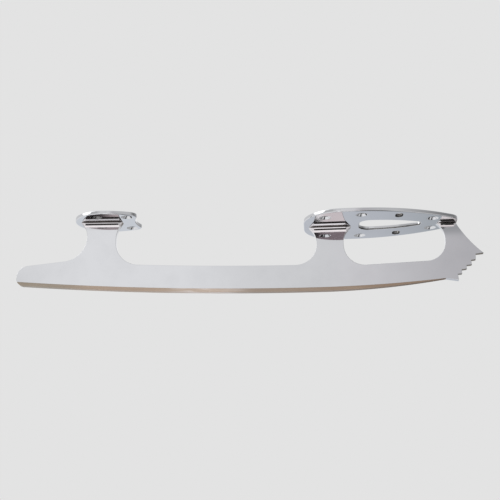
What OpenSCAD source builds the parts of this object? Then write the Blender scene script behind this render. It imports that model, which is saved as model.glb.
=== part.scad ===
// Figure skate blade: a steel runner with three stanchions, brazed to a heel plate and a sole plate.
// +X points to the toe, +Z up to the boot. The origin is where the middle of the runner's edge meets level ice.

/* [Runner] */
// Thickness of the steel blank
runner_t = 4; // [3:0.1:5]
// Radius of the main rocker
rocker_r = 2134; // [1800:1:2700]
// Radius of the tighter rocker under the ball of the foot
spin_r = 565; // [350:5:900]
// Distance from the lowest point to the start of the tighter rocker
spin_x = 30; // [10:1:45]
// Depth of the runner between the heel and sole stanchions
runner_h = 18; // [15:0.5:21]
// Depth of the runner just ahead of the sole stanchion
ball_h = 16; // [13:0.5:19]
// Depth of the runner just behind the toe stanchion
toe_h = 13.8; // [11:0.2:17]
// Radius of the hollow ground along the edge
hollow_r = 11; // [8:0.5:16]
// Height of the bare ground band above the edge
band_h = 2.4; // [1.2:0.1:4]
// How far the band is ground below the plated sides
band_depth = 0.1; // [0.05:0.01:0.3]

/* [Tail] */
// Distance from the lowest point of the rocker back to the end of the tail
tail_x = 171.6; // [160:0.2:185]
// Depth of the runner at the tail
tail_h = 14; // [12:0.5:17]
// Rounding of the tail's upper corner
tail_top_r = 8; // [3:0.5:9]
// Rounding of the tail's lower corner
tail_low_r = 5; // [2:0.5:6]

/* [Heel stanchion] */
// Middle of the heel stanchion, behind the lowest point
heel_back = 114.9; // [108:0.1:118]
// Width of the heel stanchion at its waist
heel_w = 19.7; // [14:0.1:26]
// Height of the heel plate's underside above the ice
heel_h = 49.9; // [46:0.1:58]
// Radius from the tail up into the heel stanchion
heel_rear_r = 17; // [10:0.5:20]
// Radius from the heel stanchion down into the runner
heel_front_r = 15.5; // [8:0.5:20]
// Height over which the heel stanchion flares to its plate
heel_flare_h = 12; // [6:0.5:14]
// How far the heel stanchion flares at each end
heel_flare_w = 4.2; // [1:0.1:6]
// Length of the heel stanchion's tenon
heel_tenon = 15; // [8:0.5:18]

/* [Sole stanchion] */
// Middle of the sole stanchion, ahead of the lowest point
sole_x = 38.4; // [34:0.1:44]
// Width of the sole stanchion at its waist
sole_w = 17.9; // [13:0.1:24]
// Height of the sole plate's underside above the ice, at the sole stanchion
sole_h = 43.9; // [41:0.1:52]
// Radius from the runner up into the sole stanchion
sole_rear_r = 14.3; // [8:0.1:18]
// Radius from the sole stanchion down into the toe window
sole_front_r = 14; // [8:0.5:16]
// Height over which the sole and toe stanchions flare to their plate
sole_flare_h = 11; // [6:0.5:12]
// How far the sole stanchion flares at each end
sole_flare_w = 5; // [1:0.1:7]
// Length of the sole stanchion's tenon
sole_tenon = 16; // [8:0.5:20]

/* [Toe] */
// Rear edge of the toe stanchion, ahead of the lowest point
toe_x = 114.4; // [110:0.1:116]
// Front edge of the toe stanchion under the sole plate
toe_front_x = 121.7; // [120:0.1:124]
// Radius from the toe window up into the toe stanchion
toe_rear_r = 13; // [8:0.5:15]
// How far the toe stanchion flares backwards
toe_flare_w = 5.6; // [1:0.1:7]
// Length of the toe stanchion's tenon
toe_tenon = 8; // [5:0.5:9]
// Radius of the hollow front edge above the picks
toe_front_r = 78; // [40:1:200]
// Tip of the top pick, ahead of the lowest point
top_pick_x = 139; // [136:0.1:145]
// Tip of the top pick, above the ice
top_pick_z = 24.4; // [22:0.1:27]
// Where the drag pick leaves the rocker
drag_x = 113.7; // [111:0.1:116]

/* [Plates] */
// Thickness of both plates
plate_t = 2.5; // [2:0.1:3.5]
// Rear end of the heel plate, behind the lowest point
heel_plate_rear = 133; // [130:0.5:138]
// Length of the heel plate
heel_plate_l = 43; // [42:0.2:50]
// Half the width of the heel plate
heel_plate_w = 20.6; // [19.6:0.1:23]
// How far the heel plate's middle lies to the left of the runner
heel_side = 0.3; // [-2:0.1:3]
// Depth of the hollow in the heel plate's front edge
heel_plate_hollow = 2.2; // [0.5:0.1:4]
// Rear end of the sole plate, ahead of the lowest point
sole_plate_rear = 21; // [16:0.5:24]
// How far the sole plate reaches past the toe stanchion
sole_plate_nose = 0.7; // [0.3:0.1:6]
// Half the width of the sole plate
sole_plate_w = 31.8; // [28:0.1:38]
// How far the sole plate's middle lies to the right of the runner
sole_side = 3; // [0:0.1:4]
// Angle at which the sole plate rises to the toe
sole_rise = 1; // [0:0.1:3]

/* [Holes] */
// Diameter of the screw holes
screw_d = 4.6; // [4:0.1:5.5]
// Diameter of the countersinks on the underside
sink_d = 7.6; // [6.5:0.1:8.4]
// Spacing of the heel plate's rear holes across the blade
heel_rear_gap = 25.6; // [22:0.2:28]
// Spacing of the heel plate's front holes across the blade
heel_front_gap = 25; // [20:0.2:26]
// Rear holes of the heel plate, from its rear end
heel_rear_hole = 15.9; // [14:0.1:20]
// Front holes of the heel plate, from its rear end
heel_front_hole = 36.5; // [32:0.1:37]
// Width of the crosswise adjusting slots
slot_w = 5; // [4:0.1:6]
// Length of the crosswise adjusting slots
slot_l = 8.4; // [6.5:0.1:10]
// Length of the sole plate's large opening
window_l = 40.6; // [30:0.2:42]
// Half the width of the sole plate's large opening
window_w = 10.9; // [8:0.1:12]
// Rear end of the large opening, from the plate's rear end
window_rear = 36.9; // [36:0.1:40]

/* [Braze] */
// Radius of the braze fillets
braze_r = 3; // [1.5:0.1:4]
// Thickness of the braze film round the tenons
braze_gap = 0.05; // [0.02:0.01:0.15]

/* [Hidden] */
$fn = 96;
plated = [0.86, 0.87, 0.89];
fillet_tint = [0.80, 0.80, 0.82];

// Degrees and millimetres between the points of an arc, and millimetres between those of the waist's long curve
arc_step = 5;
arc_chord = 3;
long_step = 5;
// Points along the flare of a stanchion's edge
flare_steps = 8;
// How far the blank and the cutters reach past the faces that they make
spare = 4;
// Fragments in a full turn of the rocker's circles, and of the grinding wheel's rim
rocker_fn = 2880;
rim_fn = 192;
// Outline of the picks from the top tip down, as [ahead of, above] that tip
picks = [[0, 0], [-5.2, -0.6], [-5.3, -4.3], [-8.4, -4.8], [-8, -7.8], [-11.5, -8.2],
         [-11.4, -10.6], [-14.8, -11.1], [-14.6, -13.8], [-17.4, -14.1], [-16.9, -18.2]];
// Screw holes of the sole plate from its rear end, with their spacing across the blade
sole_screws = [[14.4, 39.2], [38, 46.8], [84.7, 21.2]];
// Adjusting slots of the sole plate from its rear end, with their spacing across the blade
sole_slots = [62.3, 39.5];
// Roundings of the plates' outlines
sole_rear_round = 25;
sole_straight = 8;
sole_side_r = 110;
sole_nose_r = 9;
heel_side_r = 48;
heel_corner_r = 6;
// Roundings of the sole plate's large opening
window_rear_r = 7;
window_side_r = 80;
window_front_r = 2.5;
// Thickness of a braze fillet at its thin edges
braze_tip = 0.15;
// How far the toe's braze fillets stop behind the plate's end
toe_braze_back = 2;

// Points along an arc, from one angle to another
function arc(c, r, a, b) =
    let (n = max(2, ceil(abs(b - a) / arc_step), ceil(r * abs(b - a) * PI / 180 / arc_chord)))
    [for (i = [0:n]) c + r * [cos(a + (b - a) * i / n), sin(a + (b - a) * i / n)]];
// Angle of the direction from one point to another
function heading(p, q) = atan2(q[1] - p[1], q[0] - p[0]);
// Points of a concave arc of a given radius between two points, on the right of the way from p to q
function hollow_arc(p, q, r) =
    let (d = norm(q - p), h = sqrt(max(0, r * r - d * d / 4)), along = heading(p, q),
         c = (p + q) / 2 + h * [cos(along + 90), sin(along + 90)], from = heading(c, p),
         sweep = 2 * asin(d / (2 * r)))
    arc(c, r, from, from + sweep);

// The rocker: two circles, the tighter one set lower by a hair so that the two grinds cross and don't only touch
spin_drop = 0.05;
rocker_c = [0, rocker_r];
spin_angle = asin(spin_x / rocker_r);
down = [sin(spin_angle), -cos(spin_angle)];
spin_c = rocker_c + (rocker_r - spin_r + spin_drop) * down;
function circle_z(c, r, x) = c[1] - sqrt(r * r - pow(x - c[0], 2));
function rocker_z(x) =
    x < spin_x ? circle_z(rocker_c, rocker_r, x)
               : max(circle_z(rocker_c, rocker_r, x), circle_z(spin_c, spin_r, x));
drag_root = [drag_x, rocker_z(drag_x)];

// The bare band's upper edge: parallel to the main rocker, then running out at the drag pick
band_r = rocker_r - band_h;
band_turn = rocker_c + band_r * down;
band_run = drag_root - band_turn;
band_front_r = -(band_run * band_run) / (2 * (band_run * down));
band_front_c = band_turn - band_front_r * down;
edge_t = runner_t - 2 * band_depth;

// Undersides and tops of the plates along the blade
heel_x = -heel_back;
function sole_under(x) = sole_h + (x - sole_x) * tan(sole_rise);
plate_rise_t = plate_t / cos(sole_rise);
heel_top = heel_h + plate_t;
sole_plate_l = toe_front_x + sole_plate_nose - sole_plate_rear;

// Round corners of the windows: circles that touch the runner's upper edge and the stanchions
upper_r = rocker_r - runner_h;
function corner(x, r) = [x, rocker_r - sqrt(pow(upper_r - r, 2) - x * x)];
heel_rear_c = corner(heel_x - heel_w / 2 - heel_rear_r, heel_rear_r);
heel_front_c = corner(heel_x + heel_w / 2 + heel_front_r, heel_front_r);
sole_rear_c = corner(sole_x - sole_w / 2 - sole_rear_r, sole_rear_r);
sole_front_x = sole_x + sole_w / 2 + sole_front_r;
sole_front_c = [sole_front_x, rocker_z(sole_front_x) + ball_h + sole_front_r];
toe_rear_x = toe_x - toe_rear_r;
toe_rear_c = [toe_rear_x, rocker_z(toe_rear_x) + toe_h + toe_rear_r];

// Tail corners, and the slopes of the lines that touch two corners
tail_low_c = [tail_low_r - tail_x, rocker_z(tail_low_r - tail_x) + tail_low_r];
tail_round = min(tail_top_r, tail_h - tail_low_r);
tail_top_c = [tail_round - tail_x, rocker_z(tail_round - tail_x) + tail_h - tail_round];
tail_slope = heading(tail_top_c, heel_rear_c)
             - asin((tail_round + heel_rear_r) / norm(heel_rear_c - tail_top_c));
window_slope = heading(sole_front_c, toe_rear_c)
               + asin((sole_front_r - toe_rear_r) / norm(toe_rear_c - sole_front_c));

// Flare of a stanchion's edge: its radius, and how far it stands out at a depth below the plate
function flare_r(h, w) = (h * h + w * w) / (2 * w);
function flare_out(h, w, depth) =
    let (r = flare_r(h, w), up = max(0, h - depth)) r - sqrt(r * r - up * up);
// Points of a flare that ends at the plate, from its foot up; side is 1 where it runs to the front
function flare(x, top, foot, h, w, side) =
    let (run = min(h, top - foot), r = flare_r(run, w), reach = asin(run / r))
    [for (i = [0:flare_steps])
        let (a = reach * i / flare_steps)
        [x + side * (r - r * cos(a)), top - run + r * sin(a)]];
function backwards(points) = [for (i = [len(points) - 1:-1:0]) points[i]];
// Outline of a tenon that stands in its plate, flush with the top
function tenon(x, l, under, top) =
    [[x - l / 2, under[0]], [x - l / 2, top[0]], [x + l / 2, top[1]], [x + l / 2, under[1]]];
function sole_tenon_outline(x, l) =
    let (under = [sole_under(x - l / 2), sole_under(x + l / 2)])
    tenon(x, l, under, under + [plate_rise_t, plate_rise_t]);

heel_rear_edge = flare(heel_x - heel_w / 2, heel_h, heel_rear_c[1], heel_flare_h, heel_flare_w, -1);
heel_front_edge = flare(heel_x + heel_w / 2, heel_h, heel_front_c[1], heel_flare_h, heel_flare_w, 1);
sole_rear_edge = flare(sole_x - sole_w / 2, sole_under(sole_x - sole_w / 2 - sole_flare_w), sole_rear_c[1],
                       sole_flare_h, sole_flare_w, -1);
sole_front_edge = flare(sole_x + sole_w / 2, sole_under(sole_x + sole_w / 2 + sole_flare_w), sole_front_c[1],
                        sole_flare_h, sole_flare_w, 1);
toe_rear_edge = flare(toe_x, sole_under(toe_x - toe_flare_w), toe_rear_c[1], sole_flare_h, toe_flare_w, -1);
toe_tenon_x = (toe_x - toe_flare_w + toe_front_x) / 2;
top_pick = [top_pick_x, top_pick_z];

// Upper edge of the runner between the stanchions
waist_from = 360 + heading(rocker_c, heel_front_c);
waist_to = 360 + heading(rocker_c, sole_rear_c);
waist_steps = ceil((sole_rear_c[0] - heel_front_c[0]) / long_step);
waist_edge = [for (i = [0:waist_steps])
    let (a = waist_from + (waist_to - waist_from) * i / waist_steps)
    rocker_c + upper_r * [cos(a), sin(a)]];

// The whole blank, from the tail along the top to the toe; the rocker is ground out of its lower edge afterwards
blank = concat(
    arc(tail_low_c, tail_low_r, 270, 180),
    arc(tail_top_c, tail_round, 180, 90 + tail_slope),
    arc(heel_rear_c, heel_rear_r, 270 + tail_slope, 360),
    heel_rear_edge,
    tenon(heel_x, heel_tenon, [heel_h, heel_h], [heel_top, heel_top]),
    backwards(heel_front_edge),
    arc(heel_front_c, heel_front_r, 180, waist_from),
    waist_edge,
    arc(sole_rear_c, sole_rear_r, waist_to, 360),
    sole_rear_edge,
    sole_tenon_outline(sole_x, sole_tenon),
    backwards(sole_front_edge),
    arc(sole_front_c, sole_front_r, 180, 270 + window_slope),
    arc(toe_rear_c, toe_rear_r, 270 + window_slope, 360),
    toe_rear_edge,
    sole_tenon_outline(toe_tenon_x, toe_tenon),
    hollow_arc([toe_front_x, sole_under(toe_front_x)], top_pick, toe_front_r),
    [for (p = picks) top_pick + p],
    [drag_root, drag_root - [0, spare], [0, -spare], [tail_low_c[0], tail_low_c[1] - tail_low_r - spare]]);

// One stretch of the hollow: the round rim of a grinding wheel swept round a rocker's centre
module hollow_sweep(c, r, from, to)
    translate([c[0], 0, c[1]])
        rotate([90, 0, 0])
            rotate([0, 0, from])
                rotate_extrude(angle = to - from, $fn = rocker_fn)
                    translate([r + sqrt(pow(hollow_r, 2) - pow(edge_t / 2, 2)), 0])
                        circle(hollow_r, $fn = rim_fn);

// The area beside the edge that is ground bare
module band_area() {
    low = -2 * spare;
    high = rocker_z(-tail_x) + 3 * band_h;
    difference() {
        translate([-tail_x - spare, low])
            square([tail_x + spare + band_turn[0], high - low]);
        translate(rocker_c)
            circle(band_r, $fn = rocker_fn);
    }
    difference() {
        translate([band_turn[0], low])
            square([drag_x - band_turn[0], high - low]);
        translate(band_front_c)
            circle(band_front_r, $fn = rocker_fn);
    }
}

module runner() {
    tail_angle = asin((tail_x + spare) / rocker_r);
    middle_angle = asin((spin_x + drag_x) / 2 / rocker_r);
    drag_angle = heading(spin_c, drag_root);
    color(plated)
        difference() {
            rotate([90, 0, 0])
                linear_extrude(runner_t, center = true)
                    polygon(blank);
            hollow_sweep(rocker_c, rocker_r, 270 - tail_angle, 270 + middle_angle);
            hollow_sweep(spin_c, spin_r, 270 + spin_angle, 360 + drag_angle);
            for (side = [0, 1])
                mirror([0, side, 0])
                    translate([0, edge_t / 2, 0])
                        rotate([90, 0, 0])
                            mirror([0, 0, 1])
                                linear_extrude(spare)
                                    band_area();
        }
}

// Middle of the rounding at the front end of a bowed side
function bow_front(l, w, bow_x, side_r, front_r) =
    [l - front_r, w - side_r + sqrt(pow(side_r - front_r, 2) - pow(l - front_r - bow_x, 2))];
// Half of an outline with a rounded rear end, a bowed side and a rounded front end, from the rear to the front
function bowed_half(l, w, rear_r, straight, side_r, front_r) =
    let (bow = [rear_r + straight, w - side_r], front = bow_front(l, w, bow[0], side_r, front_r),
         turn = heading(bow, front))
    concat(arc([rear_r, w - rear_r], rear_r, 180, 90), arc(bow, side_r, 90, turn), arc(front, front_r, turn, 0));
function bowed(l, w, rear_r, straight, side_r, front_r) =
    let (half = bowed_half(l, w, rear_r, straight, side_r, front_r))
    concat(half, [for (p = backwards(half)) [p[0], -p[1]]]);

// A screw hole through a plate, countersunk from below
module screw_hole(x, y, under) {
    sink_h = (sink_d - screw_d) / 2;
    translate([x, y, under - spare])
        cylinder(h = 2 * spare + plate_t, d = screw_d);
    translate([x, y, under - sink_h])
        cylinder(h = 2 * sink_h, d1 = sink_d + 2 * sink_h, d2 = screw_d);
}

// A pair of holes across a plate's middle line
module pair(gap)
    for (side = [-1, 1])
        translate([0, side * gap / 2, 0])
            children();

// A straight slot across the blade with round ends
module cross_slot() {
    reach = slot_l - slot_w;
    height = 2 * spare + plate_t;
    translate([-slot_w / 2, -reach / 2, -spare])
        cube([slot_w, reach, height]);
    pair(reach)
        translate([0, 0, -spare])
            cylinder(h = height, d = slot_w);
}

// The hole that a tenon stands in, with room for the braze
module tenon_hole(x, l, under)
    translate([x - l / 2 - braze_gap, -runner_t / 2 - braze_gap, under - spare])
        cube([l + 2 * braze_gap, runner_t + 2 * braze_gap, 2 * spare + plate_t]);

module heel_plate() {
    front_chord = bow_front(heel_plate_l, heel_plate_w, heel_plate_w, heel_side_r, heel_corner_r)[1];
    hollow_front_r = (pow(front_chord, 2) + pow(heel_plate_hollow, 2)) / (2 * heel_plate_hollow);
    color(plated)
        difference() {
            translate([-heel_plate_rear, heel_side, heel_h])
                linear_extrude(plate_t)
                    difference() {
                        polygon(bowed(heel_plate_l, heel_plate_w, heel_plate_w, 0, heel_side_r, heel_corner_r));
                        translate([heel_plate_l - heel_plate_hollow + hollow_front_r, 0])
                            circle(hollow_front_r, $fn = 3 * $fn);
                    }
            tenon_hole(heel_x, heel_tenon, heel_h);
            translate([0, heel_side, 0]) {
                pair(heel_rear_gap)
                    screw_hole(heel_rear_hole - heel_plate_rear, 0, heel_h);
                pair(heel_front_gap)
                    screw_hole(heel_front_hole - heel_plate_rear, 0, heel_h);
            }
        }
}

// Places what is drawn on level ground at the sole plate's underside, which rises to the toe
module on_sole()
    translate([sole_x, 0, sole_h])
        rotate([0, -sole_rise, 0])
            translate([-sole_x, 0, 0])
                children();

module sole_plate() {
    slot_x = sole_plate_rear + sole_slots[0];
    color(plated)
        difference() {
            on_sole()
                translate([sole_plate_rear, -sole_side, 0])
                    linear_extrude(plate_t)
                        polygon(bowed(sole_plate_l, sole_plate_w, sole_rear_round, sole_straight,
                                      sole_side_r, sole_nose_r));
            tenon_hole(sole_x, sole_tenon, sole_h);
            tenon_hole(toe_tenon_x, toe_tenon, sole_under(toe_tenon_x));
            translate([sole_plate_rear + window_rear, -sole_side, sole_h - spare])
                linear_extrude(3 * spare + plate_t)
                    polygon(bowed(window_l, window_w, window_rear_r, 0, window_side_r, window_front_r));
            translate([0, -sole_side, 0]) {
                for (s = sole_screws)
                    pair(s[1])
                        screw_hole(sole_plate_rear + s[0], 0, sole_under(sole_plate_rear + s[0]));
                pair(sole_slots[1])
                    translate([slot_x, 0, sole_under(slot_x)])
                        cross_slot();
            }
        }
}

// A hollow braze fillet under a plate along one side of a stanchion, drawn with the plate's underside at height 0
module fillet(from, to, side) {
    hollow = braze_r + braze_tip;
    color(fillet_tint)
        mirror([0, (1 - side) / 2, 0])
            translate([from, runner_t / 2, 0])
                rotate([90, 0, 90])
                    linear_extrude(to - from)
                        difference() {
                            translate([0, -braze_r])
                                square(braze_r);
                            translate([hollow, -hollow])
                                circle(braze_r);
                        }
}

module heel_braze(side) {
    reach = heel_w / 2 + flare_out(heel_flare_h, heel_flare_w, braze_r);
    translate([0, 0, heel_h])
        fillet(heel_x - reach, heel_x + reach, side);
}

module sole_braze(side) {
    reach = sole_w / 2 + flare_out(sole_flare_h, sole_flare_w, braze_r);
    on_sole()
        fillet(sole_x - reach, sole_x + reach, side);
}

module toe_braze(side) {
    on_sole()
        fillet(toe_x - flare_out(sole_flare_h, toe_flare_w, braze_r),
               sole_plate_rear + sole_plate_l - toe_braze_back, side);
}

module heel_braze_left() heel_braze(1);
module heel_braze_right() heel_braze(-1);
module sole_braze_left() sole_braze(1);
module sole_braze_right() sole_braze(-1);
module toe_braze_left() toe_braze(1);
module toe_braze_right() toe_braze(-1);

runner();
heel_plate();
sole_plate();
heel_braze_left();
heel_braze_right();
sole_braze_left();
sole_braze_right();
toe_braze_left();
toe_braze_right();
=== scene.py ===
import math

import bmesh
import bpy
import numpy as np
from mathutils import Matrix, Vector


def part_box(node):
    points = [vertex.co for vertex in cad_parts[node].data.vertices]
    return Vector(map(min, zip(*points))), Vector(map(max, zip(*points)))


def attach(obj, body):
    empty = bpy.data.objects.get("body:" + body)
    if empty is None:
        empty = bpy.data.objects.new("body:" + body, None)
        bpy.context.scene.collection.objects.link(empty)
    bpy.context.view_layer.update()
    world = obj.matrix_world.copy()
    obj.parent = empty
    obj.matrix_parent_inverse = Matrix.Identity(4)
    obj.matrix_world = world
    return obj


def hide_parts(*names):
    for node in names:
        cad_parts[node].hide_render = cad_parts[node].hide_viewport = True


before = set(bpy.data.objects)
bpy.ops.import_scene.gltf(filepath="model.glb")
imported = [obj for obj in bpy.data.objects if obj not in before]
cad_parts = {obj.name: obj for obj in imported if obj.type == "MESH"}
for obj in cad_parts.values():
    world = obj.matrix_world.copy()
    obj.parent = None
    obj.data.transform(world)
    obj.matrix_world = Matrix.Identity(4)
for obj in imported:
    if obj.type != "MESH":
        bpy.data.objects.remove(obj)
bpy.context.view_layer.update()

scene = bpy.context.scene
scene.view_settings.view_transform = "Standard"


# Runner: the blade itself, one strip of carbon steel with three stanchions that carry the plates.
# It is cut and polished flat, plated all over, and then ground bare along the edge that meets the ice,
# where a round-rimmed wheel has cut a shallow hollow lengthwise. Its tenons stand in the plates.
MM = 0.001
RUNNER_T = 4.0
ROCKER_R, SPIN_R, SPIN_X, SPIN_DROP = 2134.0, 565.0, 30.0, 0.05
RUNNER_H, BALL_H, TOE_H = 18.0, 16.0, 13.8
HOLLOW_R, BAND_H, BAND_DEPTH = 11.0, 2.4, 0.1
TAIL_X, TAIL_H, TAIL_TOP_R, TAIL_LOW_R = 171.6, 14.0, 8.0, 5.0
HEEL_X, HEEL_W, HEEL_H, HEEL_TENON = -114.9, 19.7, 49.9, 15.0
HEEL_REAR_R, HEEL_FRONT_R, HEEL_FLARE_H, HEEL_FLARE_W = 17.0, 15.5, 12.0, 4.2
SOLE_X, SOLE_W, SOLE_H, SOLE_TENON = 38.4, 17.9, 43.9, 16.0
SOLE_REAR_R, SOLE_FRONT_R, SOLE_FLARE_H, SOLE_FLARE_W = 14.3, 14.0, 11.0, 5.0
TOE_X, TOE_FRONT_X, TOE_TENON = 114.4, 121.7, 8.0
TOE_REAR_R, TOE_FLARE_W, TOE_FRONT_R = 13.0, 5.6, 78.0
TOP_PICK, DRAG_X = (139.0, 24.4), 113.7
PICKS = ((0, 0), (-5.2, -0.6), (-5.3, -4.3), (-8.4, -4.8), (-8, -7.8), (-11.5, -8.2),
         (-11.4, -10.6), (-14.8, -11.1), (-14.6, -13.8), (-17.4, -14.1), (-16.9, -18.2))
PLATE_T, SOLE_RISE = 2.5, 1.0
EDGE_ROUND, TENON_ROUND, EDGE_STEPS = 0.22, 0.06, 3
SMOOTH_TURN, CRISP_TURN = 24, 40
POINT_GAP, POINT_TURN, POINT_MERGE, STATION_GAP = 1.2, 4.0, 0.02, 3.0
HOLLOW_STEPS, FLARE_STEPS, WAIST_POINTS, TAIL_TRIES = 14, 10, 40, 60


def spot(*place):
    """A point of the side view: millimetres ahead of the rocker's lowest point, and above the ice."""
    return np.array(place, float)


def turned(centre, radius, angle):
    return centre + radius * spot(math.cos(math.radians(angle)), math.sin(math.radians(angle)))


def arc(centre, radius, start, stop):
    """Points along an arc, from one angle to another in degrees."""
    sweep = abs(stop - start)
    count = max(2, math.ceil(sweep / POINT_TURN), math.ceil(radius * math.radians(sweep) / POINT_GAP))
    return [turned(centre, radius, start + (stop - start) * i / count) for i in range(count + 1)]


def heading(start, stop):
    return math.degrees(math.atan2(stop[1] - start[1], stop[0] - start[0]))


def low_side(centre, radius, x):
    """Height of a circle's lower side."""
    return centre[1] - math.sqrt(radius ** 2 - (x - centre[0]) ** 2)


rocker_c = spot(0, ROCKER_R)
spin_angle = math.asin(SPIN_X / ROCKER_R)
straight_down = spot(math.sin(spin_angle), -math.cos(spin_angle))
spin_c = rocker_c + (ROCKER_R - SPIN_R + SPIN_DROP) * straight_down


def rocker_z(x):
    main = low_side(rocker_c, ROCKER_R, x)
    return main if x < SPIN_X else max(main, low_side(spin_c, SPIN_R, x))


drag_root = spot(DRAG_X, rocker_z(DRAG_X))
band_r = ROCKER_R - BAND_H
band_turn = rocker_c + band_r * straight_down
band_run = drag_root - band_turn
band_front_r = -(band_run @ band_run) / (2 * (band_run @ straight_down))
band_front_c = band_turn - band_front_r * straight_down


def band_z(x):
    """Upper limit of the bare ground band."""
    if x < band_turn[0]:
        return low_side(rocker_c, band_r, x)
    return low_side(band_front_c, band_front_r, x)


def sole_under(x):
    return SOLE_H + (x - SOLE_X) * math.tan(math.radians(SOLE_RISE))


def window_corner(x, radius):
    """Middle of a rounding that touches the runner's upper edge."""
    return spot(x, ROCKER_R - math.sqrt((ROCKER_R - RUNNER_H - radius) ** 2 - x * x))


def flare(x, top, foot, height, width, side):
    """A stanchion's edge from where it starts to flare up to its plate."""
    run = min(height, top - foot)
    radius = (run * run + width * width) / (2 * width)
    reach = math.asin(run / radius)
    turns = [reach * i / FLARE_STEPS for i in range(FLARE_STEPS + 1)]
    return [spot(x + side * radius * (1 - math.cos(a)), top - run + radius * math.sin(a)) for a in turns]


def tenon(x, length, under, thickness):
    rear, front = x - length / 2, x + length / 2
    return [spot(rear, under(rear)), spot(rear, under(rear) + thickness),
            spot(front, under(front) + thickness), spot(front, under(front))]


heel_rear_c = window_corner(HEEL_X - HEEL_W / 2 - HEEL_REAR_R, HEEL_REAR_R)
heel_front_c = window_corner(HEEL_X + HEEL_W / 2 + HEEL_FRONT_R, HEEL_FRONT_R)
sole_rear_c = window_corner(SOLE_X - SOLE_W / 2 - SOLE_REAR_R, SOLE_REAR_R)
sole_front_x = SOLE_X + SOLE_W / 2 + SOLE_FRONT_R
sole_front_c = spot(sole_front_x, rocker_z(sole_front_x) + BALL_H + SOLE_FRONT_R)
toe_rear_c = spot(TOE_X - TOE_REAR_R, rocker_z(TOE_X - TOE_REAR_R) + TOE_H + TOE_REAR_R)
tail_low_c = spot(TAIL_LOW_R - TAIL_X, rocker_z(TAIL_LOW_R - TAIL_X) + TAIL_LOW_R)
tail_top_c = spot(TAIL_TOP_R - TAIL_X, rocker_z(TAIL_TOP_R - TAIL_X) + TAIL_H - TAIL_TOP_R)
tail_slope = heading(tail_top_c, heel_rear_c) - math.degrees(
    math.asin((TAIL_TOP_R + HEEL_REAR_R) / np.linalg.norm(heel_rear_c - tail_top_c)))
window_slope = heading(sole_front_c, toe_rear_c) + math.degrees(
    math.asin((SOLE_FRONT_R - TOE_REAR_R) / np.linalg.norm(toe_rear_c - sole_front_c)))
waist_from, waist_to = 360 + heading(rocker_c, heel_front_c), 360 + heading(rocker_c, sole_rear_c)

# The grind starts on the tail's lower rounding, at the height of the band
steep, shallow = 180.0, 270.0
for _ in range(TAIL_TRIES):
    tail_turn = (steep + shallow) / 2
    if np.linalg.norm(turned(tail_low_c, TAIL_LOW_R, tail_turn) - rocker_c) > band_r:
        shallow = tail_turn
    else:
        steep = tail_turn
tail_foot = arc(tail_low_c, TAIL_LOW_R, tail_turn, 270)

# The hollow front edge above the picks
toe_head, top_tip = spot(TOE_FRONT_X, sole_under(TOE_FRONT_X)), spot(*TOP_PICK)
toe_span = np.linalg.norm(top_tip - toe_head)
toe_side = math.radians(heading(toe_head, top_tip) + 90)
toe_front_c = (toe_head + top_tip) / 2 + math.sqrt(TOE_FRONT_R ** 2 - toe_span ** 2 / 4) * spot(
    math.cos(toe_side), math.sin(toe_side))
toe_sweep = math.degrees(2 * math.asin(toe_span / (2 * TOE_FRONT_R)))
toe_start = heading(toe_front_c, toe_head)

sole_tenon_t = PLATE_T / math.cos(math.radians(SOLE_RISE))
toe_tenon_x = (TOE_X - TOE_FLARE_W + TOE_FRONT_X) / 2
tenons = [tenon(HEEL_X, HEEL_TENON, lambda x: HEEL_H, PLATE_T),
          tenon(SOLE_X, SOLE_TENON, sole_under, sole_tenon_t),
          tenon(toe_tenon_x, TOE_TENON, sole_under, sole_tenon_t)]
outline = [
    *arc(tail_low_c, TAIL_LOW_R, tail_turn, 180),
    *arc(tail_top_c, TAIL_TOP_R, 180, 90 + tail_slope),
    *arc(heel_rear_c, HEEL_REAR_R, 270 + tail_slope, 360),
    *flare(HEEL_X - HEEL_W / 2, HEEL_H, heel_rear_c[1], HEEL_FLARE_H, HEEL_FLARE_W, -1),
    *tenons[0],
    *flare(HEEL_X + HEEL_W / 2, HEEL_H, heel_front_c[1], HEEL_FLARE_H, HEEL_FLARE_W, 1)[::-1],
    *arc(heel_front_c, HEEL_FRONT_R, 180, waist_from),
    *[turned(rocker_c, ROCKER_R - RUNNER_H, a) for a in np.linspace(waist_from, waist_to, WAIST_POINTS)],
    *arc(sole_rear_c, SOLE_REAR_R, waist_to, 360),
    *flare(SOLE_X - SOLE_W / 2, sole_under(SOLE_X - SOLE_W / 2 - SOLE_FLARE_W), sole_rear_c[1],
           SOLE_FLARE_H, SOLE_FLARE_W, -1),
    *tenons[1],
    *flare(SOLE_X + SOLE_W / 2, sole_under(SOLE_X + SOLE_W / 2 + SOLE_FLARE_W), sole_front_c[1],
           SOLE_FLARE_H, SOLE_FLARE_W, 1)[::-1],
    *arc(sole_front_c, SOLE_FRONT_R, 180, 270 + window_slope),
    *arc(toe_rear_c, TOE_REAR_R, 270 + window_slope, 360),
    *flare(TOE_X, sole_under(TOE_X - TOE_FLARE_W), toe_rear_c[1], SOLE_FLARE_H, TOE_FLARE_W, -1),
    *tenons[2],
    *arc(toe_front_c, TOE_FRONT_R, toe_start, toe_start + toe_sweep),
    *[top_tip + spot(*p) for p in PICKS],
    drag_root]
outline = [p for i, p in enumerate(outline) if i == 0 or np.linalg.norm(p - outline[i - 1]) > POINT_MERGE]

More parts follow.
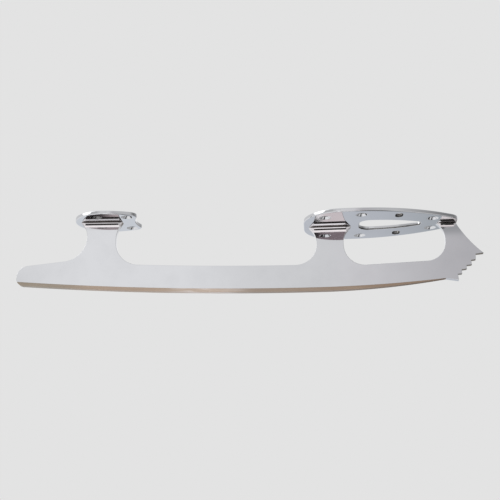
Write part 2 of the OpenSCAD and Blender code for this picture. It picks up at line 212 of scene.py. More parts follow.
# The ground edge from the tail to the drag pick, with the band's upper limit above each of its points
stations = math.ceil((DRAG_X - tail_low_c[0]) / STATION_GAP)
edge_line = tail_foot + [spot(x, rocker_z(x)) for x in np.linspace(tail_low_c[0], DRAG_X, stations + 1)[1:]]
edge_gaps = [np.linalg.norm(b - a) for a, b in zip(edge_line, edge_line[1:])]
edge_run = np.concatenate(([0], np.cumsum(edge_gaps)))
band_xs = edge_line[0][0] + (DRAG_X - edge_line[0][0]) * edge_run / edge_run[-1]
band_line = [edge_line[0]] + [spot(x, band_z(x)) for x in band_xs[1:-1]] + [drag_root]
half_t, half_edge = RUNNER_T / 2, RUNNER_T / 2 - BAND_DEPTH
rim_foot = math.sqrt(HOLLOW_R ** 2 - half_edge ** 2)
across = np.linspace(-half_edge, half_edge, HOLLOW_STEPS + 1)
PLATED, GROUND = 0, 1

bm = bmesh.new()
round_weight = bm.edges.layers.float.new("bevel_weight_edge")


def corner_at(p, y):
    return bm.verts.new((p[0] * MM, y * MM, p[1] * MM))


def skin(corners, finish):
    face = bm.faces.new(corners)
    face.material_index = finish
    return face


sides = {s: [corner_at(p, s * half_t) for p in outline] for s in (-1, 1)}
bands = {s: [sides[s][0]] + [corner_at(p, s * half_t) for p in band_line[1:-1]] + [sides[s][-1]]
         for s in (-1, 1)}
hollow = []
for p in edge_line:
    above = max(0.0, p[1] - low_side(rocker_c, ROCKER_R, p[0])) if p[0] < tail_low_c[0] else 0.0
    depths = [max(0.0, math.sqrt(HOLLOW_R ** 2 - y * y) - rim_foot - above) for y in across]
    centre = rocker_c if p[0] < SPIN_X else spin_c
    up = (centre - p) / np.linalg.norm(centre - p)
    hollow.append([corner_at(p + up * d, y) for y, d in zip(across, depths)])
tip_line = [corner_at(drag_root, y) for y in across[1:-1]]
tip_line = [hollow[-1][0]] + tip_line + [hollow[-1][-1]]
ledges = {s: [row[0 if s < 0 else -1] for row in hollow] for s in (-1, 1)}
for s in (-1, 1):
    inner = [ledges[s][0]] + [corner_at(p, s * half_edge) for p in band_line[1:-1]] + [ledges[s][-1]]
    skin(sides[s] + bands[s][-2:0:-1], PLATED)
    for i in range(len(band_line) - 1):
        skin((bands[s][i], bands[s][i + 1], inner[i + 1], inner[i]), GROUND)
        ring = [inner[i], inner[i + 1], ledges[s][i + 1], ledges[s][i]]
        skin([v for j, v in enumerate(ring) if v not in ring[:j]], GROUND)
for row, after in zip(hollow, hollow[1:]):
    for j in range(HOLLOW_STEPS):
        skin((row[j], row[j + 1], after[j + 1], after[j]), GROUND)
skin(hollow[-1] + tip_line[-2:0:-1], GROUND)
skin([sides[-1][1], sides[-1][0]] + hollow[0] + [sides[1][0], sides[1][1]], PLATED)
skin([sides[-1][-2], sides[-1][-1]] + tip_line + [sides[1][-1], sides[1][-2]], PLATED)
for i in range(1, len(outline) - 2):
    skin((sides[-1][i], sides[-1][i + 1], sides[1][i + 1], sides[1][i]), PLATED)
bmesh.ops.recalc_face_normals(bm, faces=bm.faces)
in_plate = {tuple(np.round(p, 4)) for t in tenons for p in t}
for s in (-1, 1):
    for i, (a, b) in enumerate(zip(sides[s], sides[s][1:])):
        seated = {tuple(np.round(outline[i], 4)), tuple(np.round(outline[i + 1], 4))} <= in_plate
        bm.edges.get((a, b))[round_weight] = TENON_ROUND / EDGE_ROUND if seated else 1.0
for edge in bm.edges:
    edge.smooth = edge.calc_face_angle(0) < math.radians(SMOOTH_TURN) or edge[round_weight] > 0
for face in bm.faces:
    face.smooth = True
runner_mesh = bpy.data.meshes.new("runner_strip")
bm.to_mesh(runner_mesh)
bm.free()


def rounded(obj, width, segments):
    """Rounds the edges that carry a weight, and keeps flat faces flat and other corners crisp to the eye."""
    round_off = obj.modifiers.new("rounding", "BEVEL")
    round_off.limit_method = "WEIGHT"
    round_off.width = width * MM
    round_off.segments = segments
    round_off.use_clamp_overlap = False
    round_off.miter_outer = "MITER_SHARP"
    obj.data = bpy.data.meshes.new_from_object(obj.evaluated_get(bpy.context.evaluated_depsgraph_get()))
    obj.modifiers.clear()
    obj.data.set_sharp_from_angle(angle=math.radians(CRISP_TURN))
    even = obj.modifiers.new("even_normals", "WEIGHTED_NORMAL")
    even.keep_sharp = True
    even.weight = 100


class Socket:
    """A socket of a shader: sums on it add Math nodes, and node() adds any other node to its tree."""

    def __init__(self, tree, socket=None):
        self.tree, self.socket = tree, socket

    def node(self, kind, settings=None, inputs=None, out=0):
        made = self.tree.nodes.new(kind)
        for name, value in (settings or {}).items():
            if name == "stops":
                ramp = made.color_ramp.elements
                while len(ramp) < len(value):
                    ramp.new(1.0)
                for stop, (place, colour) in zip(ramp, value):
                    stop.position, stop.color = place, (*colour, 1.0)
            else:
                setattr(made, name, value)
        for name, value in (inputs or {}).items():
            if isinstance(value, Socket):
                self.tree.links.new(value.socket, made.inputs[name])
            else:
                made.inputs[name].default_value = value
        return Socket(self.tree, made.outputs[out] if made.outputs else None)

    def math(self, operation, *others):
        return self.node("ShaderNodeMath", {"operation": operation}, dict(enumerate((self, *others))))

    def __add__(self, other):
        return self.math("ADD", other)

    def __sub__(self, other):
        return self.math("SUBTRACT", other)

    def __rsub__(self, other):
        return self.node("ShaderNodeMath", {"operation": "SUBTRACT"}, {0: other, 1: self})

    def __mul__(self, other):
        return self.math("MULTIPLY", other)

    def __neg__(self):
        return self * -1.0

    __radd__, __rmul__ = __add__, __mul__

    def step(self, low, high):
        """0 below low, 1 above high, and smooth between them."""
        return self.node("ShaderNodeMapRange", {"interpolation_type": "SMOOTHSTEP"},
                         {"Value": self, "From Min": low, "From Max": high})

    def blend(self, first, second):
        """A colour that goes from the first to the second as this value goes from 0 to 1."""
        return self.node("ShaderNodeMix", {"data_type": "RGBA"},
                         {0: self, 6: rgba(first), 7: rgba(second)}, out=2)

    def noise(self, scale, detail=2.0, roughness=0.5, stretch=(1.0, 1.0, 1.0)):
        """Noise over a position, its scale in cycles per metre and drawn out along each axis."""
        place = self.node("ShaderNodeVectorMath", {"operation": "MULTIPLY"}, {0: self, 1: stretch})
        return place.node("ShaderNodeTexNoise", None, {
            "Vector": place, "Scale": scale, "Detail": detail, "Roughness": roughness}, out="Fac")


def rgba(colour):
    return colour if isinstance(colour, Socket) else (*colour, 1.0)


def new_material(name):
    material = bpy.data.materials.new(name)
    material.use_nodes = True
    material.node_tree.nodes.clear()
    return material, Socket(material.node_tree)


def metal(start, colour, roughness, height, depth):
    """A bare metal surface; height is its relief in units of depth metres."""
    relief = start.node("ShaderNodeBump", None, {"Strength": 1.0, "Distance": depth, "Height": height})
    shader = start.node("ShaderNodeBsdfPrincipled", None, {
        "Base Color": colour, "Metallic": 1.0, "Roughness": roughness, "Normal": relief})
    start.node("ShaderNodeOutputMaterial", None, {"Surface": shader})


# Mirror plating: broad waves left by the polishing wheel, fine lines along the strip, a faint cloudiness
PLATING, PLATING_CLOUD = (0.885, 0.893, 0.905), (0.845, 0.853, 0.866)
PLATING_ROUGH, CLOUD_ROUGH, LINE_ROUGH = 0.015, 0.02, 0.015
PLATING_RELIEF, LINE_RELIEF = 0.000009, 0.01
plating, start = new_material("mirror_plating")
place = start.node("ShaderNodeTexCoord", out="Object")
waves = place.noise(38.0, 1.0, 0.4)
polish_lines = place.noise(900.0, 3.0, 0.6, (0.02, 1.0, 1.0))
cloud = place.noise(55.0, 4.0, 0.6)
metal(start,
      cloud.step(0.35, 0.75).blend(PLATING, PLATING_CLOUD),
      PLATING_ROUGH + cloud.step(0.3, 0.8) * CLOUD_ROUGH + polish_lines.step(0.45, 0.8) * LINE_ROUGH,
      waves + polish_lines * LINE_RELIEF, PLATING_RELIEF)

# Bare ground steel: grinding lines along the edge, tinted along its length, paler under the waist and
# darker and warmer at the toe, with a painted highlight: a bright glint in streaks under the middle of the foot
STEEL, STEEL_DARK, STEEL_PALE = (0.53, 0.435, 0.355), (0.42, 0.34, 0.275), (0.66, 0.56, 0.47)
TINT_TAIL, TINT_NONE = (0.91, 0.95, 0.92), (1.0, 1.0, 1.0)
TINT_WAIST, TINT_TOE = (1.18, 1.13, 1.08), (0.92, 0.83, 0.74)
TAIL_END, WAIST_START, WAIST_END, TOE_START = (-0.15, -0.08), (-0.15, -0.11), (-0.08, -0.03), (-0.04, 0.1)
# Painted highlight: a bright, streaked glint painted into the steel's colour under the middle of the foot
GLINT, GLINT_PALE = (0.9, 0.745, 0.62), (0.98, 0.88, 0.8)
GLINT_START, GLINT_END, GLINT_EVEN, GLINT_STREAKED = (-0.082, -0.046), (-0.04, -0.008), 0.7, 0.3
STEEL_ROUGH, GRIND_ROUGH, GRIND_RELIEF = 0.26, 0.16, 0.000012
ground_steel_and_glint, start = new_material("ground_steel_and_glint")
place = start.node("ShaderNodeTexCoord", out="Object")
grind_lines = place.noise(2600.0, 3.0, 0.65, (0.012, 1.0, 1.0))
grind_bands = place.noise(420.0, 2.0, 0.5, (0.03, 1.0, 1.0))
patches = place.noise(30.0, 3.0, 0.55)
tone = grind_lines * 0.55 + grind_bands * 0.25 + patches * 0.2
along = place.node("ShaderNodeSeparateXYZ", None, {"Vector": place}, out="X")
in_waist = along.step(*WAIST_START) * (1 - along.step(*WAIST_END))
tint = in_waist.blend(along.step(*TAIL_END).blend(TINT_TAIL, TINT_NONE), TINT_WAIST)
tint = along.step(*TOE_START).blend(tint, TINT_TOE)
steel = tone.step(0.5, 0.7).blend(tone.step(0.3, 0.5).blend(STEEL_DARK, STEEL), STEEL_PALE)
tinted = steel.node("ShaderNodeMix", {"data_type": "RGBA", "blend_type": "MULTIPLY"},
                    {0: 1.0, 6: steel, 7: tint}, out=2)
glint_streaks = place.noise(700.0, 2.0, 0.5, (0.1, 1.0, 1.0))
# Where the painted glint lies, in streaks
painted_glint = along.step(*GLINT_START) * (1 - along.step(*GLINT_END)) * (
    GLINT_EVEN + glint_streaks.step(0.35, 0.6) * GLINT_STREAKED)
metal(start,
      painted_glint.blend(tinted, glint_streaks.step(0.4, 0.65).blend(GLINT, GLINT_PALE)),
      STEEL_ROUGH + grind_lines.step(0.3, 0.7) * GRIND_ROUGH,
      grind_lines, GRIND_RELIEF)

runner = bpy.data.objects.new("runner_strip", runner_mesh)
scene.collection.objects.link(runner)
runner_mesh.materials.append(plating)
runner_mesh.materials.append(ground_steel_and_glint)
rounded(runner, EDGE_ROUND, EDGE_STEPS)
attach(runner, "root")
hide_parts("runner")


# Heel plate and sole plate: sheet steel stamped to outline, drilled and countersunk from below for
# wood screws, edges rolled round by polishing, then plated. The runner's tenons stand in their slots.
PLATE_ROUND, WINDOW_ROUND, HOLE_ROUND, PLATE_STEPS = 0.55, 0.4, 0.16, 4
WINDOW_SIZE, SLOT_OPENING, TORN_H, SHADED_HOLES_X = 15.0, 4.3, 1.0, -110.0
MERGE_GAP, FLAT_TURN, PLATE_CORNER = 0.002, 0.3, 30
WALL_LEAN, SLOPE_LEAN, OUTLINE_SHARE = 0.3, 0.9, 0.9
# Thin plating: a dull plating whose dark colour is painted shade, on the walls of holes, slots and windows and
# in the heel's rearmost holes
THIN_PLATING_SHADE, THIN_STAIN = (0.27, 0.265, 0.26), (0.10, 0.092, 0.085)
THIN_ROUGH, TOOL_ROUGH, TOOL_RELIEF = 0.16, 0.14, 0.00001
thin_plating_and_shade, start = new_material("thin_plating_and_shade")
place = start.node("ShaderNodeTexCoord", out="Object")
tool_marks = place.noise(1500.0, 3.0, 0.6, (1.0, 1.0, 0.1))
stain = place.noise(350.0, 3.0, 0.6)
metal(start,
      stain.step(0.4, 0.7).blend(THIN_PLATING_SHADE, THIN_STAIN),
      THIN_ROUGH + tool_marks.step(0.3, 0.7) * TOOL_ROUGH,
      tool_marks, TOOL_RELIEF)


def plate_piece(node, name, under):
    """A clean copy of a packed plate, its edges marked for rounding, with painted shade in a dark dull plating
    on its torn opening walls and the heel's rearmost holes.
    """
    plate_bm = bmesh.new()
    plate_bm.from_mesh(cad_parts[node].data)
    bmesh.ops.remove_doubles(plate_bm, verts=plate_bm.verts, dist=MERGE_GAP * MM)
    bmesh.ops.dissolve_limit(plate_bm, angle_limit=math.radians(FLAT_TURN),
                             verts=plate_bm.verts, edges=plate_bm.edges)
    weight = plate_bm.edges.layers.float.new("bevel_weight_edge")
    for face in plate_bm.faces:
        face.material_index = 0
    low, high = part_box(node)
    torn_top = Vector((0, 0, (under(0) + TORN_H) * MM))
    plate_up = Vector((under(0) - under(1), 0, 1)).normalized()
    upright = {f for f in plate_bm.faces if abs(f.normal.z) < WALL_LEAN}
    rims = {e for f in upright for e in f.edges}
    bmesh.ops.bisect_plane(plate_bm, geom=[*upright, *rims, *{v for e in rims for v in e.verts}],
                           plane_co=torn_top, plane_no=plate_up)
    walls = {f for f in plate_bm.faces if abs(f.normal.z) < SLOPE_LEAN}
    while walls:
        group, queue = set(), [walls.pop()]
        while queue:
            face = queue.pop()
            group.add(face)
            for other in {f for e in face.edges for f in e.link_faces} & walls:
                walls.discard(other)
                queue.append(other)
        spots = [v.co for f in group for v in f.verts]
        size = [max(p[i] for p in spots) - min(p[i] for p in spots) for i in (0, 1)]
        if size[0] > OUTLINE_SHARE * (high.x - low.x):
            width = PLATE_ROUND
        elif size[0] > WINDOW_SIZE * MM and size[1] > SLOT_OPENING * MM:
            width = WINDOW_ROUND
        else:
            width = 0.0 if size[1] < SLOT_OPENING * MM else HOLE_ROUND
        for edge in {e for f in group for e in f.edges if e.calc_face_angle(0) > math.radians(PLATE_CORNER)}:
            edge[weight] = width / PLATE_ROUND
        for face in group:
            # Painted shade: torn upright walls and the heel's rearmost holes take the dark plating
            torn = width < WINDOW_ROUND or (face.calc_center_median() - torn_top).dot(plate_up) < 0
            dull_and_shaded = abs(face.normal.z) < WALL_LEAN or max(p.x for p in spots) < SHADED_HOLES_X * MM
            face.material_index = int(width < PLATE_ROUND and torn and dull_and_shaded)
    for edge in plate_bm.edges:
        edge.smooth = edge.calc_face_angle(0) < math.radians(PLATE_CORNER) or edge[weight] > 0
    for face in plate_bm.faces:
        face.smooth = True
    mesh = bpy.data.meshes.new(name)
    plate_bm.to_mesh(mesh)
    plate_bm.free()
    mesh.materials.append(plating)
    mesh.materials.append(thin_plating_and_shade)
    plate = bpy.data.objects.new(name, mesh)
    scene.collection.objects.link(plate)
    rounded(plate, PLATE_ROUND, PLATE_STEPS)
    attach(plate, "root")
    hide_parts(node)


plate_piece("heel_plate", "heel_plate_plated", lambda x: HEEL_H)
plate_piece("sole_plate", "sole_plate_plated", sole_under)


# Braze beads: brass run into the corner between each stanchion and its plate, smoothed hollow with a
# file and then plated over. They stay a little uneven and run out to the tips of the stanchion's flare.
# Deep in the corner, where they meet the plate, their colour is dark: painted shade.
BRAZE_R, TOE_BRAZE_R, BRAZE_FEATHER, BRAZE_UNEVEN = 3.6, 2.6, 0.05, 0.05
BEAD_ARC, BEAD_RINGS, TOE_RUN_OUT, TOE_BEAD_START = 15, 64, 1.6, 0.6
WOBBLE_SCALE, END_SIZE = 160.0, 0.03
BRAZE, BRAZE_CLOUD, BRAZE_ROOT_SHADE = (0.92, 0.89, 0.895), (0.84, 0.80, 0.80), (0.10, 0.085, 0.08)
ROOT_SHADE_START, ROOT_SHADE_RAGGED, ROOT_ROUGH = (0.54, 0.62), 0.06, 0.12
BRAZE_ROUGH, MOTTLE_ROUGH, BRAZE_RELIEF, MOTTLE_RELIEF = 0.035, 0.05, 0.000012, 0.1
braze_plating_and_root_shade, start = new_material("plated_braze_root_shade")
place = start.node("ShaderNodeTexCoord", out="Object")
mottle = place.noise(700.0, 3.0, 0.6, (0.35, 1.0, 1.0))
ripple = place.noise(260.0, 2.0, 0.5)
depth = start.node("ShaderNodeAttribute", {"attribute_name": "across"}, out="Fac")
# Painted shade: the bead's colour turns dark towards its root in the corner
root_shade = (depth + (mottle - 0.5) * ROOT_SHADE_RAGGED).step(*ROOT_SHADE_START)
metal(start,
      root_shade.blend(mottle.step(0.4, 0.8).blend(BRAZE, BRAZE_CLOUD), BRAZE_ROOT_SHADE),
      BRAZE_ROUGH + mottle * MOTTLE_ROUGH + root_shade * ROOT_ROUGH,
      ripple + mottle * MOTTLE_RELIEF, BRAZE_RELIEF)

bead_tree = bpy.data.node_groups.new("braze_bead", "GeometryNodeTree")
bead_input = {
    name: bead_tree.interface.new_socket(name=name, in_out="INPUT", socket_type="NodeSocket" + kind).identifier
    for name, kind in (("Rear End", "Vector"), ("Front End", "Vector"), ("Side", "Float"), ("Radius", "Float"),
                       ("Feather", "Float"), ("Rear Run Out", "Float"), ("Front Run Out", "Float"),
                       ("Unevenness", "Float"), ("Seed", "Float"), ("Finish", "Material"))}
bead_tree.interface.new_socket(name="Bead", in_out="OUTPUT", socket_type="NodeSocketGeometry")
bead = Socket(bead_tree)


def given(name):
    return bead.node("NodeGroupInput", out=name)


# Its section: a hollow quarter circle from the stanchion to the plate, closed along both of them
count = bead.node("GeometryNodeInputIndex")
on_arc = count.math("LESS_THAN", BEAD_ARC - 0.5)
turn = count * (math.pi / 2 / (BEAD_ARC - 1))
leg = given("Radius") + given("Feather")
out_from_side = on_arc * (leg - given("Radius") * turn.math("COSINE")) + (1 - on_arc) * leg * count.math(
    "LESS_THAN", BEAD_ARC + 0.5)
below_plate = on_arc * (leg - given("Radius") * turn.math("SINE")) + leg * count.math(
    "GREATER_THAN", BEAD_ARC + 1.5)
section = bead.node("GeometryNodeCurvePrimitiveCircle", None, {"Resolution": BEAD_ARC + 3})
section = section.node("GeometryNodeSetPosition", None, {"Geometry": section, "Position": bead.node(
    "ShaderNodeCombineXYZ", None, {"X": out_from_side * given("Side") * -1.0, "Y": below_plate})})
section = section.node("GeometryNodeStoreNamedAttribute", {"data_type": "FLOAT", "domain": "POINT"}, {
    "Geometry": section, "Name": "across", "Value": on_arc * turn * (2 / math.pi)})
# Its path: along the corner, thinner towards both ends
path = bead.node("GeometryNodeCurvePrimitiveLine", None, {
    "Start": given("Rear End"), "End": given("Front End")})
path = path.node("GeometryNodeResampleCurve", None, {"Curve": path, "Count": BEAD_RINGS})
path = path.node("GeometryNodeSetCurveNormal", {"mode": "Z_UP"}, {"Curve": path})
run = bead.node("GeometryNodeSplineParameter", out="Length")
whole = bead.node("GeometryNodeSplineLength", out="Length")
from_rear = run.math("DIVIDE", given("Rear Run Out"))
from_front = (whole - run).math("DIVIDE", given("Front Run Out"))
ends = from_rear.math("MINIMUM", from_front).math("MINIMUM", 1.0).math("MAXIMUM", END_SIZE)
wobble = bead.node("ShaderNodeTexNoise", {"noise_dimensions": "4D"}, {
    "Vector": bead.node("GeometryNodeInputPosition"), "W": given("Seed"),
    "Scale": WOBBLE_SCALE, "Detail": 2.0}, out="Fac")
size = ends * (1 + given("Unevenness") * (wobble - 0.5))
body = path.node("GeometryNodeCurveToMesh", None, {
    "Curve": path, "Profile Curve": section, "Scale": size, "Fill Caps": True})
body = body.node("GeometryNodeRealizeInstances", None, {"Geometry": body})
body = body.node("GeometryNodeSetMaterial", None, {"Geometry": body, "Material": given("Finish")})
body.node("NodeGroupOutput", None, {"Bead": body})


def flare_gain(height, width, bead_r):
    """How much wider a flare is at its plate than a bead's radius below it."""
    radius = (height ** 2 + width ** 2) / (2 * width)
    return width - radius + math.sqrt(radius ** 2 - (height - bead_r) ** 2)


heel_gain = flare_gain(HEEL_FLARE_H, HEEL_FLARE_W, BRAZE_R)
sole_gain = flare_gain(SOLE_FLARE_H, SOLE_FLARE_W, BRAZE_R)
toe_gain = flare_gain(SOLE_FLARE_H, TOE_FLARE_W, TOE_BRAZE_R) - TOE_BEAD_START
heel_tip, sole_tip = HEEL_W / 2 + HEEL_FLARE_W, SOLE_W / 2 + SOLE_FLARE_W
toe_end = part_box("toe_braze_left")[1].x / MM + TOE_RUN_OUT
for joint, bead_r, under, rear_x, front_x, rear_gain, front_gain in (
        ("heel", BRAZE_R, lambda x: HEEL_H, HEEL_X - heel_tip, HEEL_X + heel_tip, heel_gain, heel_gain),
        ("sole", BRAZE_R, sole_under, SOLE_X - sole_tip, SOLE_X + sole_tip, sole_gain, sole_gain),
        ("toe", TOE_BRAZE_R, sole_under, TOE_X - TOE_FLARE_W + TOE_BEAD_START, toe_end, toe_gain, TOE_RUN_OUT)):
    for side, hand in ((1, "left"), (-1, "right")):
        node = f"{joint}_braze_{hand}"
        holder = bpy.data.objects.new(node + "_bead", bpy.data.meshes.new(node + "_bead"))
        scene.collection.objects.link(holder)
        sweep = holder.modifiers.new("bead", "NODES")
        sweep.node_group = bead_tree
        for name, value in (("Rear End", [v * MM for v in (rear_x, side * half_t, under(rear_x))]),
                            ("Front End", [v * MM for v in (front_x, side * half_t, under(front_x))]),
                            ("Side", float(side)), ("Radius", bead_r * MM), ("Feather", BRAZE_FEATHER * MM),
                            ("Rear Run Out", rear_gain * MM), ("Front Run Out", front_gain * MM),
                            ("Unevenness", BRAZE_UNEVEN), ("Seed", front_x * side), ("Finish", braze_plating_and_root_shade)):
            sweep[bead_input[name]] = value
        shape = bpy.data.meshes.new_from_object(holder.evaluated_get(bpy.context.evaluated_depsgraph_get()))
        holder.modifiers.clear()
        bead_bm = bmesh.new()
        bead_bm.from_mesh(shape)
        bmesh.ops.recalc_face_normals(bead_bm, faces=bead_bm.faces)
        for edge in bead_bm.edges:
            edge.smooth = edge.calc_face_angle(0) < math.radians(CRISP_TURN)
        for face in bead_bm.faces:
            face.smooth = True
        bead_bm.to_mesh(shape)
        bead_bm.free()
        holder.data = shape
        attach(holder, "root")
        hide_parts(node)


# Studio: a pale tent, brightest at the heel's end and falling off towards the toe, open to the dark at
# the toe's far side, over a dark table with a pale floor. The table and what lies on it show as stripes
# in the corners between the runner and its plates, where the metal mirrors itself.
BACKDROP, SOFTBOX = (0.768, 0.768, 0.768), (1.6, 1.6, 1.6)
SOFTBOX_WAY, SOFTBOX_RIM = (-0.78, -0.25, 0.57), (0.905, 0.925)
TENT_SPAN, TENT_COOL, HORIZON, SIDE_SEAM = 1.0, 1.02, (-0.03, 0.03), (-0.05, 0.05)
world = bpy.data.worlds.new("light_tent")
scene.world = world
world.use_nodes = True
world.node_tree.nodes.clear()
sky = Socket(world.node_tree)
way = sky.node("ShaderNodeTexCoord", out="Generated")
to_toe, to_left, to_top = (way.node("ShaderNodeSeparateXYZ", None, {"Vector": way}, out=axis) for axis in "XYZ")
to_table = -to_top
fall_off = to_toe.node("ShaderNodeMapRange", None, {
    "Value": to_toe, "From Min": -TENT_SPAN, "From Max": TENT_SPAN})


def along_tent(*stops):
    """A colour or a level that changes from the heel's end of the tent to the toe's."""
    even = [((x + TENT_SPAN) / (2 * TENT_SPAN), c if isinstance(c, tuple) else (c, c, c * TENT_COOL))
            for x, c in stops]
    return fall_off.node("ShaderNodeValToRGB", {"stops": even}, {"Fac": fall_off})


def within(way_to, middle, half, soft):
    """1 near the middle of a soft-edged stretch of the tent, and 0 outside it."""
    return (-(way_to - middle).math("ABSOLUTE")).step(-half - soft, -half + soft)


def patch(x, z, wide, tall, soft):
    """1 inside a soft-edged patch of the tent, given by its middle and half its size."""
    return within(to_toe, x, wide, soft[0]) * within(to_top, z, tall, soft[1])


front_high = along_tent(
    (-1.0, 0.45), (-0.43, 0.44), (-0.3, 0.57), (-0.25, 0.72), (-0.2, 0.78), (-0.1, 0.77), (-0.06, 0.69),
    (0.0, 0.66), (0.035, (0.64, 0.63, 0.65)), (0.09, (0.52, 0.51, 0.53)), (0.14, (0.455, 0.445, 0.465)),
    (0.3, 0.49), (0.5, 0.5), (0.62, 0.44), (0.8, 0.31), (1.0, 0.12))
for spot_x, spot_z, wide, tall, soft, colour in (
        (0.112, 0.290, 0.02, 0.0085, (0.012, 0.004), (0.33, 0.33, 0.345)),
        (-0.215, 0.32, 0.185, 0.0325, (0.02, 0.003), (0.56, 0.555, 0.565))):
    front_high = patch(spot_x, spot_z, wide, tall, soft).blend(front_high, colour)
rear_high = along_tent(
    (-1.0, 0.6), (-0.34, 0.62), (-0.25, 0.88), (0.02, 0.95), (0.12, 0.9), (0.24, 0.79), (0.34, 0.55),
    (0.6, 0.4), (1.0, 0.2))
rear_low = along_tent(
    (-1.0, 0.75), (-0.4, 0.75), (-0.3, (0.62, 0.645, 0.685)), (-0.15, (0.62, 0.645, 0.69)),
    (0.06, (0.475, 0.495, 0.54)), (0.11, (0.37, 0.395, 0.425)), (0.15, (0.30, 0.30, 0.305)),
    (0.18, (0.2, 0.185, 0.17)), (0.3, (0.19, 0.17, 0.155)), (0.42, 0.4), (0.55, 0.44), (0.75, 0.3),
    (1.0, 0.15))
front_edge = along_tent(
    (-1.0, 0.6), (-0.4, 0.7), (-0.25, (0.97, 0.94, 0.95)), (-0.14, (0.97, 0.94, 0.95)), (-0.1, 0.74),
    (-0.06, 0.72), (-0.025, (0.97, 0.93, 0.94)), (0.05, (0.97, 0.93, 0.94)), (0.13, (0.8, 0.73, 0.73)),
    (0.2, 0.45), (1.0, 0.4))
underneath = along_tent(
    (-1.0, 1.0), (-0.45, 1.0), (-0.25, 0.75), (-0.16, 0.6), (0.0, 0.95), (0.05, 0.9), (0.075, 0.2),
    (0.095, 0.03), (0.3, 0.07), (1.0, 0.06))

# Mirrored once, the table shows the floor's glow, with dark gaps in front of the three joints. Only what
# the metal mirrors twice, deep in a corner, shows it dark all along and shows the patches on its edge
TABLE_EDGE, TABLE_GAPS, TABLE_FOOT, CEILING = (0.32, 0.36), (0.47, 0.53), (0.88, 0.93), (0.4, 0.55)
CORNER_END, TOE_CORNER, SECOND_BOUNCE = (0.58, 0.64), (0.088, 0.094), (2.4, 2.6)
GAPS, GAP_SOFT = ((-0.182, 0.042), (0.03, 0.06), (0.25, 0.15)), 0.012
BLACK, MAUVE = (0.02, 0.017, 0.017), (0.69, 0.61, 0.62)
floor_glow = along_tent((-1.0, 0.7), (-0.3, 0.8), (0.0, 0.78), (0.3, 0.7), (1.0, 0.55))
in_corner = sky.node("ShaderNodeLightPath", out="Ray Depth").step(*SECOND_BOUNCE)
table = to_table.step(*TABLE_EDGE)
past_corner = to_table.step(*CORNER_END) * (1 - to_toe.step(*TOE_CORNER))
dark = table * in_corner * (1 - past_corner)
for gap_x, wide in GAPS:
    dark = dark.math("MAXIMUM", within(to_toe, gap_x, wide, GAP_SOFT) * to_table.step(*TABLE_GAPS))
front_low = dark.blend(table.blend(front_edge, floor_glow), BLACK)
for spot_x, spot_z, wide, tall, soft, colour in (
        (-0.185, -0.298, 0.035, 0.02, (0.01, 0.001), BLACK),
        (-0.18, -0.2855, 0.03, 0.006, (0.01, 0.001), (0.35, 0.29, 0.305)),
        (-0.152, -0.3023, 0.022, 0.0061, (0.01, 0.0015), (0.54, 0.455, 0.465)),
        (0.0435, -0.2803, 0.0415, 0.0088, (0.004, 0.001), (0.215, 0.17, 0.185)),
        (0.046, -0.3048, 0.032, 0.0158, (0.004, 0.001), MAUVE),
        (0.125, -0.28, 0.03, 0.006, (0.004, 0.001), (0.40, 0.385, 0.40)),
        (0.107, -0.2825, 0.0055, 0.003, (0.0015, 0.0008), BLACK),
        (0.115, -0.2873, 0.03, 0.0013, (0.004, 0.0008), (0.3, 0.27, 0.27)),
        (0.0, -0.294, 0.0135, 0.0016, (0.003, 0.0006), BLACK),
        (0.0, -0.284, 0.0115, 0.0022, (0.003, 0.0006), BLACK),
        (-0.0085, -0.289, 0.0165, 0.0165, (0.002, 0.001), BLACK)):
    front_low = (in_corner * patch(spot_x, spot_z, wide, tall, soft)).blend(front_low, colour)
below = to_table.step(*HORIZON)
rear = below.blend(rear_high, rear_low)
front = below.blend(front_high, front_low)
studio = to_left.step(*SIDE_SEAM).blend(front, rear)
studio = to_table.step(*TABLE_FOOT).blend(studio, underneath)
ceiling = along_tent((-1.0, 0.75), (-0.5, 0.72), (0.0, 0.6), (0.5, 0.42), (1.0, 0.3))
studio = to_top.step(*CEILING).blend(studio, ceiling)
to_softbox = way.node("ShaderNodeVectorMath", {"operation": "DOT_PRODUCT"}, {
    0: way, 1: Vector(SOFTBOX_WAY).normalized()}, out="Value")
studio = to_softbox.step(*SOFTBOX_RIM).blend(studio, SOFTBOX)
to_camera = sky.node("ShaderNodeLightPath", out="Is Camera Ray")
seen = to_camera.blend(studio, BACKDROP)
shine = sky.node("ShaderNodeBackground", None, {"Color": seen, "Strength": 1.0})
sky.node("ShaderNodeOutputWorld", None, {"Surface": shine})


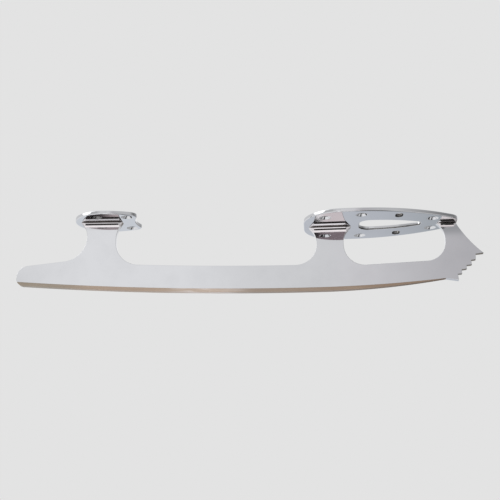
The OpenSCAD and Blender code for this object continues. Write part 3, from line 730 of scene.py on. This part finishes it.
# Floor: a disc of pale matt paper laid just under the edge, thinning out to the backdrop.
# It shows only from above, so a view from below the edge looks past it.
FLOOR_R, FLOOR_FADE, FLOOR_SIDES, FLOOR_DROP = 1.6, 0.5, 96, 0.5
PAPER, PAPER_ROUGH, PAPER_GLOSS = (0.82, 0.82, 0.82), 0.9, 0.1
floor_bm = bmesh.new()
bmesh.ops.create_circle(floor_bm, cap_ends=True, segments=FLOOR_SIDES, radius=FLOOR_R)
floor_mesh = bpy.data.meshes.new("floor")
floor_bm.to_mesh(floor_mesh)
floor_bm.free()
paper, start = new_material("floor_paper")
place = start.node("ShaderNodeTexCoord", out="Object")
reach = place.node("ShaderNodeVectorMath", {"operation": "LENGTH"}, {0: place}, out="Value")
hidden = start.node("ShaderNodeNewGeometry", out="Backfacing")
clear = reach.step(FLOOR_FADE, FLOOR_R).math("MAXIMUM", hidden)
matt = start.node("ShaderNodeBsdfPrincipled", None, {
    "Base Color": rgba(PAPER), "Roughness": PAPER_ROUGH, "Specular IOR Level": PAPER_GLOSS})
glass = start.node("ShaderNodeBsdfTransparent")
start.node("ShaderNodeOutputMaterial", None, {
    "Surface": start.node("ShaderNodeMixShader", None, {0: clear, 1: matt, 2: glass})})
floor_mesh.materials.append(paper)
floor = bpy.data.objects.new("floor", floor_mesh)
floor.location.z = -FLOOR_DROP * MM
scene.collection.objects.link(floor)
floor.visible_glossy = False
floor.visible_shadow = False


# Lamp and camera: one large soft lamp hangs over the heel's end, and a long lens stands a little below
# the blade and looks up at the undersides of its plates.
LAMP_SIZE, LAMP_POWER, LAMP_AT = 1.0, 6.0, (-0.5, -0.5, 1.2)
LENS, SENSOR = 86.47, 36.0
CAMERA_AT, CAMERA_AIM = (0.031, -0.770, -0.18865), (-0.015, 0.0, 0.02935)
lamp_data = bpy.data.lights.new("softbox", "AREA")
lamp_data.shape, lamp_data.size, lamp_data.energy = "DISK", LAMP_SIZE, LAMP_POWER
lamp = bpy.data.objects.new("softbox", lamp_data)
lamp.location = LAMP_AT
lamp.rotation_euler = (-lamp.location).to_track_quat("-Z", "Y").to_euler()
scene.collection.objects.link(lamp)
lamp.visible_glossy = False

camera_data = bpy.data.cameras.new("camera")
camera_data.lens, camera_data.sensor_width = LENS, SENSOR
camera = bpy.data.objects.new("camera", camera_data)
camera.location = CAMERA_AT
camera.rotation_euler = (Vector(CAMERA_AIM) - camera.location).to_track_quat("-Z", "Y").to_euler()
scene.collection.objects.link(camera)
scene.camera = camera
